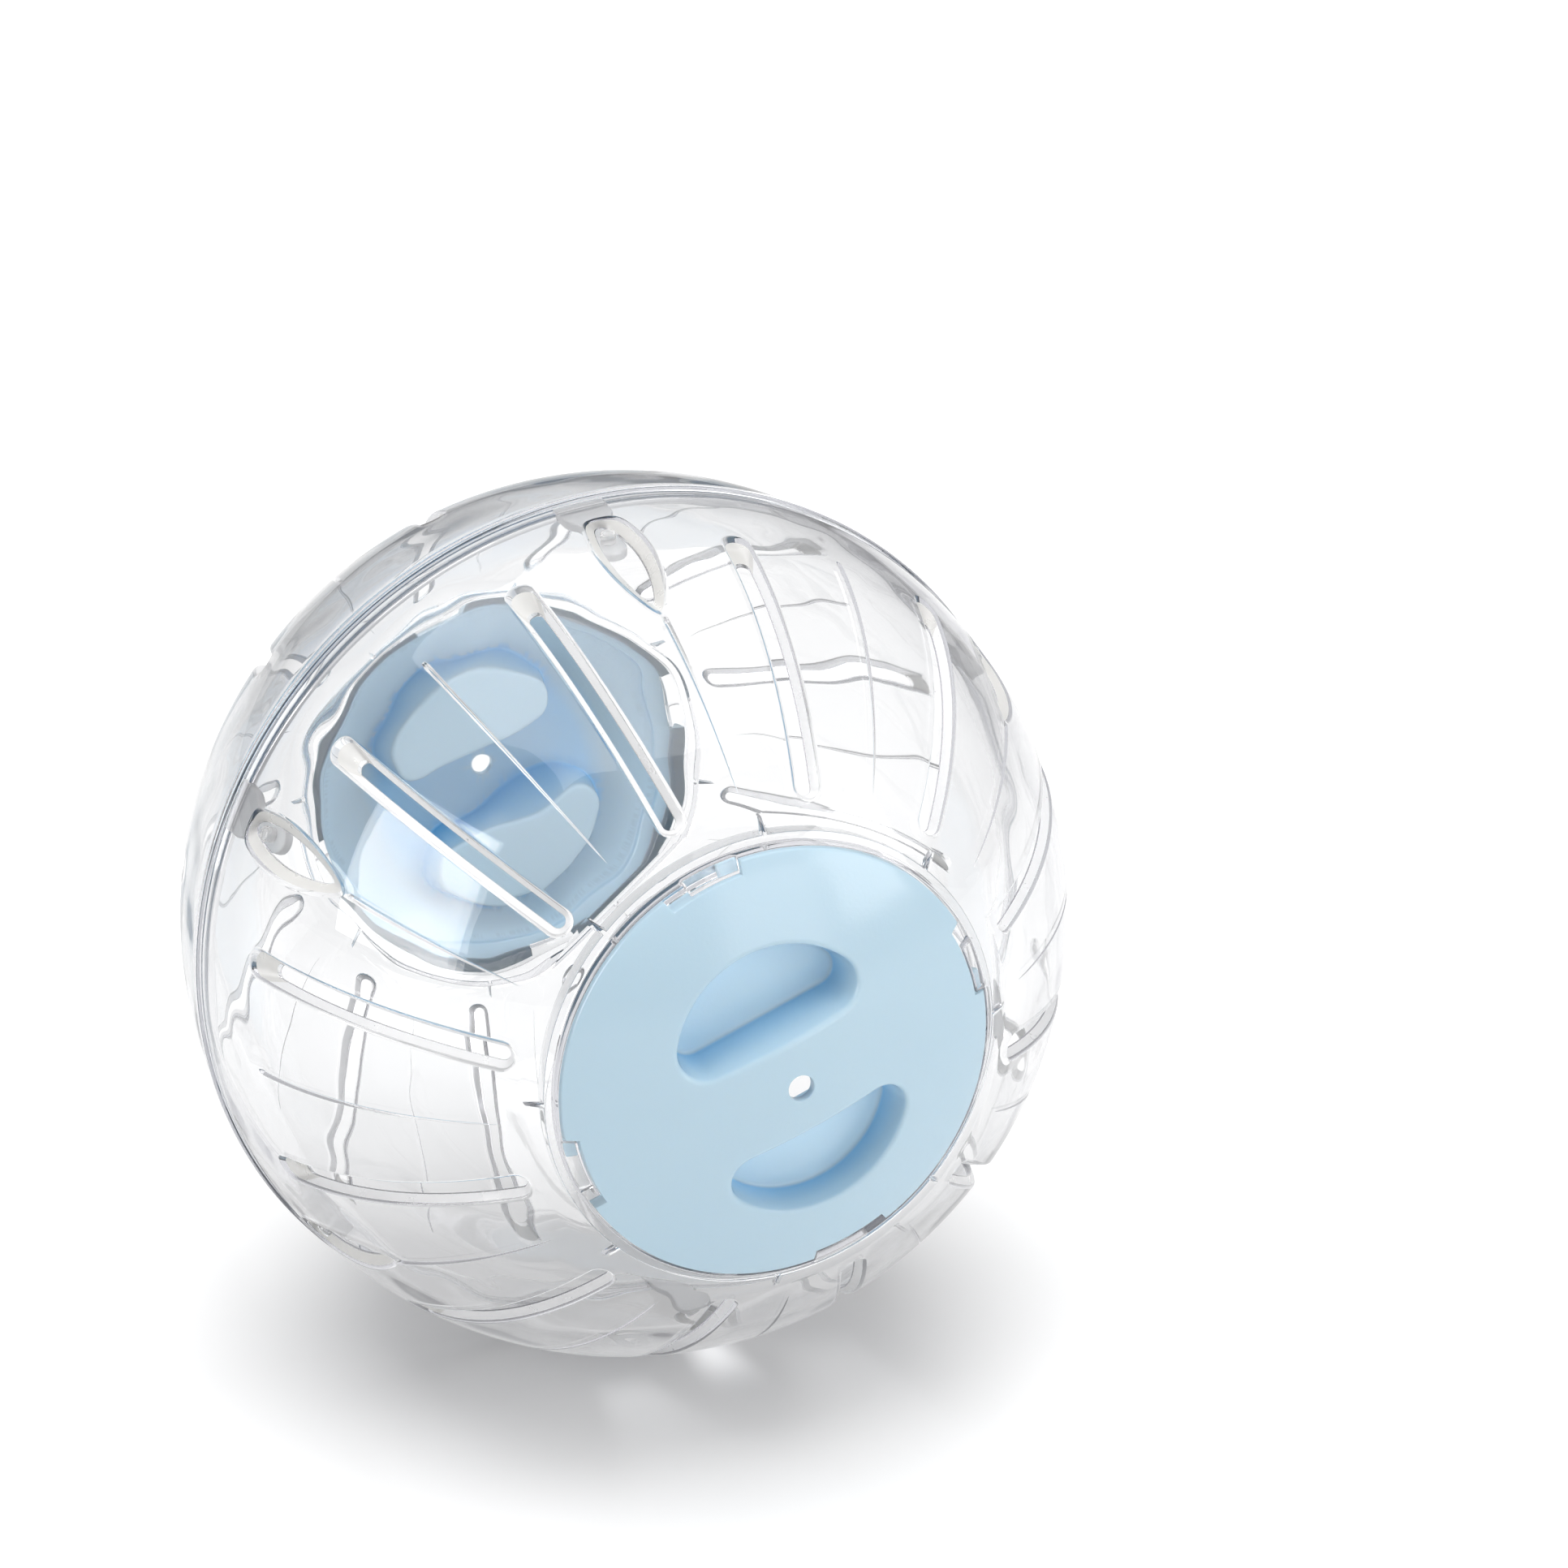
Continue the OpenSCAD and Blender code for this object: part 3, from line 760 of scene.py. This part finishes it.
def rim_profiles():
    """Profiles of a door's rim, one per column, with its windows and ledges. All have as many corners."""
    notch = TAB_ANGLE + 2 * TAB_PLAY + LEDGE_ANGLE
    start = TAB_TURN - TAB_ANGLE / 2 - TAB_PLAY
    rim_z, notch_z = dome_z(RIM_INNER, DOOR_R), dome_z(RIM_INNER, NOTCH_R)
    profiles = []
    for k in range(FINE):
        angle = k * 360 / FINE
        if in_range(angle, start, LEDGE_ANGLE, TABS):
            rim = [corner(SHELL_R, NOTCH_R, 0.2), corner(LEDGE_TOP, NOTCH_R, 0.15), corner(LEDGE_TOP, DOOR_R, 0.2),
                   (DOOR_R, rim_z, 0.25)]
        elif in_range(angle, start, notch, TABS):
            rim = [corner(SHELL_R, NOTCH_R, 0.2), (NOTCH_R, notch_z + 1.1, 0.15), (NOTCH_R, notch_z + 0.5, 0.1),
                   (NOTCH_R, notch_z, 0.15)]
        else:
            rim = [corner(SHELL_R, DOOR_R, 0.3), (DOOR_R, rim_z + 1.4, 0.15), (DOOR_R, rim_z + 0.8, 0.1),
                   (DOOR_R, rim_z, 0.25)]
        profiles.append(profile([
            corner(SHELL_R, TOP_EDGE),
            corner(SHELL_R, TOP_EDGE + 0.8),
            *rim,
            corner(RIM_INNER, RIM_IN, 0.35),
            corner(DOOR_INNER, RIM_IN, 0.3),
            corner(DOOR_INNER, UNDER_EDGE),
        ]))
    return profiles


def recess(pieces, outline):
    """A finger recess: its wall and floor, and the boss under it. Returns its outlines in the two skins."""
    mouth, skin, wall_foot = (grown(outline, by) for by in (GRIP_DRAFT, GRIP_DRAFT + GRIP_LIP, -GRIP_DRAFT))
    near_top = lifted(mouth, SHELL_R)
    below = level(grown(outline, GRIP_DRAFT - LIP_DRAFT), 0) + [0, 0, 1] * (near_top[:, 2:] - GRIP_LIP_DROP)
    rows = list(bezier(lifted(skin, SHELL_R), near_top, below, 6))
    foot = level(wall_foot, GRIP_FLOOR + GRIP_ROUND)
    rows += [below + (foot - below) * t for t in (0.33, 0.66)]
    floor_edge = grown(outline, -GRIP_DRAFT - GRIP_ROUND)
    rows += list(bezier(foot, level(wall_foot, GRIP_FLOOR), level(floor_edge, GRIP_FLOOR), 5))
    # The recess wall gets painted shade and its floor painted light
    pieces.rows(rows, depths=RECESS_PAINTED_SHADING)
    flat, faces = patch(floor_edge, spacing=1.0, margin=0.5)
    pieces.add(level(flat, GRIP_FLOOR), faces, depth=RECESS_PAINTED_SHADING[-1])

    outside, bottom = grown(outline, GRIP_WALL - GRIP_DRAFT), GRIP_FLOOR - GRIP_WALL
    root = grown(outline, GRIP_WALL + GRIP_DRAFT + BOSS_FILLET)
    root_corner = lifted(grown(outline, GRIP_WALL + GRIP_DRAFT), DOOR_INNER)
    rows = list(bezier(lifted(root, DOOR_INNER), root_corner, root_corner - [0, 0, BOSS_FILLET], 3))
    boss_edge = grown(outline, GRIP_WALL - GRIP_DRAFT - GRIP_ROUND)
    rows += list(bezier(level(outside, bottom + GRIP_ROUND), level(outside, bottom), level(boss_edge, bottom), 4))
    # Painted shade at the boss's root, painted light on its bottom
    pieces.rows(rows, depths=BOSS_PAINTED_SHADING)
    flat, faces = patch(boss_edge)
    pieces.add(level(flat, bottom), faces, depth=BOSS_PAINTED_SHADING[-1])
    return skin, root


def skin_patch(edge, holes, spacing):
    """Flat points and triangles inside a door skin's round edge, finer towards the edge."""
    rings = [circle(edge - 0.6, COARSE), circle(edge - 1.4, COARSE // 2)]
    return patch(circle(edge, FINE), holes, rings=rings, spacing=spacing)


def door(rear, material):
    """A door as one closed mesh: top skin with two recesses and a hole, under skin with their walls, and rim."""
    pieces = Pieces()
    base = grip_outline()
    top_holes, under_holes = [], []
    for side in (0, 180):
        c, s = math.cos(math.radians(side - 90)), math.sin(math.radians(side - 90))
        skin, root = recess(pieces, base @ np.array([[c, s], [-s, c]]))
        top_holes.append(skin)
        under_holes.append(root)

    around, hole_edge = 72, HOLE_R + HOLE_EASE
    pieces.rows(revolve(profile([
        corner(SHELL_R, hole_edge), corner(SHELL_R, HOLE_R, 0.3),
        corner(DOOR_INNER, HOLE_R, 0.2), corner(DOOR_INNER, hole_edge)]), around))
    top_holes.append(circle(hole_edge, around))
    under_holes.append(circle(hole_edge, around))

    flat, faces = skin_patch(TOP_EDGE, top_holes, 1.1)
    pieces.add(lifted(flat, SHELL_R), faces)
    flat, faces = skin_patch(UNDER_EDGE, under_holes, 1.3)
    # Painted shade in the under skin's middle, painted light towards its edge
    depth = np.interp(np.hypot(flat[:, 0], flat[:, 1]), *UNDER_PAINTED_SHADING)
    pieces.add(lifted(flat, DOOR_INNER), faces, depth=depth)
    rim = revolve(rim_profiles(), FINE)
    # Painted light on the rim's inner rows
    pieces.rows(rim, depths=np.interp(np.arange(len(rim)) / len(rim), *RIM_PAINTED_SHADING))
    name = "rear_door_moulding" if rear else "front_door_moulding"
    return pieces.to_object(name, rear, material, ((SHELL_R, 1), (DOOR_INNER, -1)))


# Materials. Most helpers add nodes to a tree and return the output of the last one

def new_material(name):
    material = bpy.data.materials.new(name)
    material.use_nodes = True
    tree = material.node_tree
    shader = tree.nodes["Principled BSDF"]
    return material, tree, shader


def noise(tree, scale, detail=2.0, rough=0.5):
    place = tree.nodes.new("ShaderNodeTexCoord")
    texture = tree.nodes.new("ShaderNodeTexNoise")
    texture.inputs["Scale"].default_value = scale
    texture.inputs["Detail"].default_value = detail
    texture.inputs["Roughness"].default_value = rough
    tree.links.new(place.outputs["Object"], texture.inputs["Vector"])
    return texture.outputs["Fac"]


def ranged(tree, value, low, high):
    """A noise's value, whose middle part runs from low to high."""
    node = tree.nodes.new("ShaderNodeMapRange")
    node.inputs["From Min"].default_value = 0.3
    node.inputs["From Max"].default_value = 0.7
    node.inputs["To Min"].default_value = low
    node.inputs["To Max"].default_value = high
    tree.links.new(value, node.inputs["Value"])
    return node.outputs["Result"]


def between(tree, factor, low, high):
    node = tree.nodes.new("ShaderNodeMapRange")
    node.inputs["To Min"].default_value = low
    node.inputs["To Max"].default_value = high
    tree.links.new(factor, node.inputs["Value"])
    return node.outputs["Result"]


def bumped(tree, shader, value, distance):
    bump = tree.nodes.new("ShaderNodeBump")
    bump.inputs["Strength"].default_value = 1.0
    bump.inputs["Distance"].default_value = distance
    tree.links.new(value, bump.inputs["Height"])
    tree.links.new(bump.outputs["Normal"], shader.inputs["Normal"])


def more_than(tree, value, limit):
    node = tree.nodes.new("ShaderNodeMath")
    node.operation = "GREATER_THAN"
    node.inputs[1].default_value = limit
    tree.links.new(value, node.inputs[0])
    return node.outputs[0]


def largest(tree, *values):
    value = values[0]
    for other in values[1:]:
        node = tree.nodes.new("ShaderNodeMath")
        node.operation = "MAXIMUM"
        tree.links.new(value, node.inputs[0])
        tree.links.new(other, node.inputs[1])
        value = node.outputs[0]
    return value


def times(tree, first, second):
    node = tree.nodes.new("ShaderNodeMath")
    node.operation = "MULTIPLY"
    tree.links.new(first, node.inputs[0])
    if isinstance(second, float):
        node.inputs[1].default_value = second
    else:
        tree.links.new(second, node.inputs[1])
    return node.outputs[0]


def blend(tree, factor, first, second):
    mix = tree.nodes.new("ShaderNodeMix")
    mix.data_type = "RGBA"
    for name, value in (("A", first), ("B", second)):
        if isinstance(value, tuple):
            mix.inputs[name].default_value = (*value, 1)
        else:
            tree.links.new(value, mix.inputs[name])
    tree.links.new(factor, mix.inputs["Factor"])
    return mix.outputs["Result"]


def by_face(tree, name):
    node = tree.nodes.new("ShaderNodeAttribute")
    node.attribute_name = name
    return node.outputs["Fac"]


def mixed(tree, factor, first, second):
    mix = tree.nodes.new("ShaderNodeMixShader")
    tree.links.new(factor, mix.inputs["Fac"])
    tree.links.new(first, mix.inputs[1])
    tree.links.new(second, mix.inputs[2])
    return mix.outputs[0]


def see_through(tree, tint):
    node = tree.nodes.new("ShaderNodeBsdfTransparent")
    if isinstance(tint, tuple):
        node.inputs["Color"].default_value = (*tint, 1)
    else:
        tree.links.new(tint, node.inputs["Color"])
    return node.outputs[0]


def seen_by_eye(tree):
    """1 for rays that carry the picture: from the camera, off gloss or through clear plastic."""
    path = tree.nodes.new("ShaderNodeLightPath")
    return largest(tree, path.outputs["Is Camera Ray"], path.outputs["Is Glossy Ray"],
                   path.outputs["Is Transmission Ray"])


def finish_clear(tree, shader):
    """Lets lamps and scattered light through the plastic, and lets go of light that is caught between its skins."""
    path = tree.nodes.new("ShaderNodeLightPath")
    out = tree.nodes["Material Output"]
    unseen = largest(tree, path.outputs["Is Shadow Ray"], path.outputs["Is Diffuse Ray"])
    caught = largest(tree, more_than(tree, path.outputs["Ray Depth"], MOST_BOUNCES),
                     more_than(tree, path.outputs["Glossy Depth"], MOST_MIRRORED))
    kept = mixed(tree, caught, shader.outputs[0], see_through(tree, CAUGHT_TINT))
    second_wall = more_than(tree, path.outputs["Transparent Depth"], ONE_WALL)
    lit = mixed(tree, unseen, kept, see_through(tree, blend(tree, second_wall, WALL_TINT, SECOND_WALL_TINT)))
    tree.links.new(lit, out.inputs["Surface"])
    absorb = tree.nodes.new("ShaderNodeVolumeAbsorption")
    absorb.inputs["Color"].default_value = (*ABSORB_COLOUR, 1)
    absorb.inputs["Density"].default_value = ABSORPTION
    tree.links.new(absorb.outputs[0], out.inputs["Volume"])


def clear_plastic():
    """Clear plastic: polished outside, wavy on the inner skin, and frosted on the walls of slots and windows."""
    material, tree, shader = new_material("clear_plastic")
    shader.inputs["IOR"].default_value = CLEAR_IOR
    frosted = by_face(tree, "frosted")
    frost = blend(tree, by_face(tree, "pale"), FROST, PALE_FROST)
    tree.links.new(blend(tree, frosted, (1, 1, 1), frost), shader.inputs["Base Color"])
    tree.links.new(between(tree, frosted, 1.0, FROST_TRANSMISSION), shader.inputs["Transmission Weight"])
    matt = ranged(tree, noise(tree, 300, 3), 0.25, 0.45)
    polish = ranged(tree, noise(tree, 45, 3), 0.0, 0.03)
    tree.links.new(largest(tree, times(tree, frosted, matt), polish), shader.inputs["Roughness"])
    bumped(tree, shader, times(tree, by_face(tree, "wavy"), noise(tree, 60, 1)), 0.0004)
    finish_clear(tree, shader)
    return material


def tongue_plastic():
    """The latch tongues' plastic: frosted all over, apart from the clear pips."""
    material, tree, shader = new_material("tongue_plastic")
    shader.inputs["Base Color"].default_value = (*TONGUE_COLOUR, 1)
    shader.inputs["Transmission Weight"].default_value = TONGUE_TRANSMISSION
    shader.inputs["IOR"].default_value = CLEAR_IOR
    matt = ranged(tree, noise(tree, 160, 3), 0.32, 0.48)
    tree.links.new(times(tree, by_face(tree, "frosted"), matt), shader.inputs["Roughness"])
    bumped(tree, shader, noise(tree, 900, 2), 0.00005)
    finish_clear(tree, shader)
    return material


def door_plastic():
    """Satin pale blue plastic, with painted shade, a deeper blue, by the walls of its hollows and painted light, a
    paler blue, on their floors and the rim.
    """
    material, tree, shader = new_material("door_plastic")
    skin = blend(tree, ranged(tree, noise(tree, 14, 3), 0, 1), *DOOR_SKIN)
    # Painted light makes the colour paler where the attribute is below zero, painted shade makes it a deeper blue
    # above zero
    painted_shading = by_face(tree, "painted_shading")
    painted_lighter = blend(tree, times(tree, painted_shading, -1.0), skin, DOOR_PAINTED_LIGHT)
    tree.links.new(blend(tree, painted_shading, painted_lighter, DOOR_PAINTED_SHADE), shader.inputs["Base Color"])
    shader.inputs["IOR"].default_value = DOOR_IOR
    shader.inputs["Subsurface Weight"].default_value = 0.12
    shader.inputs["Subsurface Radius"].default_value = (0.4, 0.7, 1.0)
    shader.inputs["Subsurface Scale"].default_value = 0.002
    tree.links.new(ranged(tree, noise(tree, 260, 4), 0.13, 0.19), shader.inputs["Roughness"])
    bumped(tree, shader, noise(tree, 1400, 3), 0.00002)
    return material


# Room

def floor_material():
    """Pale floor that takes the ball's shadow and otherwise shows as the white background.

    It glows for the camera, more so far from the ball, and has levels of its own where it is seen through the ball.
    """
    material, tree, shader = new_material("studio_floor")
    tree.nodes.remove(shader)
    diffuse = tree.nodes.new("ShaderNodeBsdfDiffuse")
    glow = tree.nodes.new("ShaderNodeEmission")
    path = tree.nodes.new("ShaderNodeLightPath")
    through = largest(tree, path.outputs["Is Glossy Ray"], path.outputs["Is Transmission Ray"])
    tree.links.new(blend(tree, through, FLOOR_COLOUR, FLOOR_BEHIND_GLASS), diffuse.inputs["Color"])
    place = tree.nodes.new("ShaderNodeTexCoord")
    from_ball = tree.nodes.new("ShaderNodeVectorMath")
    from_ball.operation = "LENGTH"
    tree.links.new(place.outputs["Object"], from_ball.inputs[0])
    near_or_far = between(tree, from_ball.outputs["Value"], FLOOR_GLOW, FAR_FLOOR_GLOW)
    direct = times(tree, path.outputs["Is Camera Ray"], near_or_far)
    tree.links.new(largest(tree, direct, between(tree, through, 0, GLASS_GLOW)), glow.inputs["Strength"])
    add = tree.nodes.new("ShaderNodeAddShader")
    tree.links.new(diffuse.outputs[0], add.inputs[0])
    tree.links.new(glow.outputs[0], add.inputs[1])
    tree.links.new(add.outputs[0], tree.nodes["Material Output"].inputs["Surface"])
    return material


def placed(right, up, back, here):
    return Matrix([[right[i], up[i], back[i], here[i]] for i in range(3)] + [[0, 0, 0, 1]])


def softbox(name, place, size, power):
    """A rectangular lamp that faces the ball."""
    light = bpy.data.lights.new(name, "AREA")
    light.shape = "RECTANGLE"
    light.size, light.size_y = size
    light.energy = power
    obj = bpy.data.objects.new(name, light)
    here = np.array(place, float)
    back = here / np.linalg.norm(here)
    overhead = abs(back[2]) > 0.95
    right = np.cross([0, 1, 0] if overhead else [0, 0, 1], back)
    right /= np.linalg.norm(right)
    up = np.cross(back, right)
    obj.matrix_world = placed(right, up, back, here)
    bpy.context.scene.collection.objects.link(obj)
    return obj


def ramped(tree, value, stops):
    """A gray ramp through the stops, each a place and a level, with the sky's tint."""
    node = tree.nodes.new("ShaderNodeValToRGB")
    elements = node.color_ramp.elements
    while len(elements) < len(stops):
        elements.new(0.5)
    for element, (place, _) in zip(elements, stops):
        element.position = place
    for element, (_, gray) in zip(elements, stops):
        element.color = (*[min(1, gray * tint) for tint in SKY_TINT], 1)
    tree.links.new(value, node.inputs["Fac"])
    return node.outputs["Color"]


def studio():
    """Floor, sky and lamps."""
    mesh = bpy.data.meshes.new("floor")
    bm = bmesh.new()
    bmesh.ops.create_grid(bm, x_segments=4, y_segments=4, size=FLOOR_HALF)
    bm.to_mesh(mesh)
    bm.free()
    floor = bpy.data.objects.new("floor", mesh)
    floor.location.z = cad_box[0][2]
    mesh.materials.append(floor_material())
    bpy.context.scene.collection.objects.link(floor)

    world = bpy.data.worlds.new("studio")
    world.use_nodes = True
    bpy.context.scene.world = world
    tree = world.node_tree
    place = tree.nodes.new("ShaderNodeTexCoord")
    split = tree.nodes.new("ShaderNodeSeparateXYZ")
    tree.links.new(place.outputs["Generated"], split.inputs[0])
    sky = ramped(tree, split.outputs["Z"], SKY)
    sky_light = ramped(tree, split.outputs["Z"], SKY_LIGHT)
    eye = seen_by_eye(tree)
    background = tree.nodes["Background"]
    tree.links.new(blend(tree, eye, sky_light, sky), background.inputs["Color"])
    tree.links.new(between(tree, eye, SKY_LIGHT_STRENGTH, 1.0), background.inputs["Strength"])

    lamps = {name: softbox(name, *rest) for name, *rest in LAMPS}
    lamps["top_lamp"].visible_glossy = False
    lamps["window_card"].visible_diffuse = False


def camera():
    """The photograph's viewpoint: 0.72 m from the ball, with the picture's middle as its principal point."""
    data = bpy.data.cameras.new("camera")
    data.sensor_width = SENSOR_W
    data.lens = LENS
    obj = bpy.data.objects.new("camera", data)
    right, forward = (np.array(way) / np.linalg.norm(way) for way in (CAMERA_RIGHT, CAMERA_FORWARD))
    obj.matrix_world = placed(right, np.cross(right, forward), -forward, CAMERA_AT)
    bpy.context.scene.collection.objects.link(obj)
    bpy.context.scene.camera = obj


clear = clear_plastic()
tongue_material = tongue_plastic()
blue = door_plastic()

for rear in (False, True):
    shell = half_shell(rear, clear)
    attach(shell, "shells")
    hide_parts("rear_shell" if rear else "front_shell")
    lid = door(rear, blue)
    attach(lid, "rear_door_body" if rear else "front_door_body")
    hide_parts("rear_door" if rear else "front_door")
tongues = latch_tongues(tongue_material)
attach(tongues, "shells")

studio()
camera()
bpy.context.scene.view_settings.view_transform = "Standard"
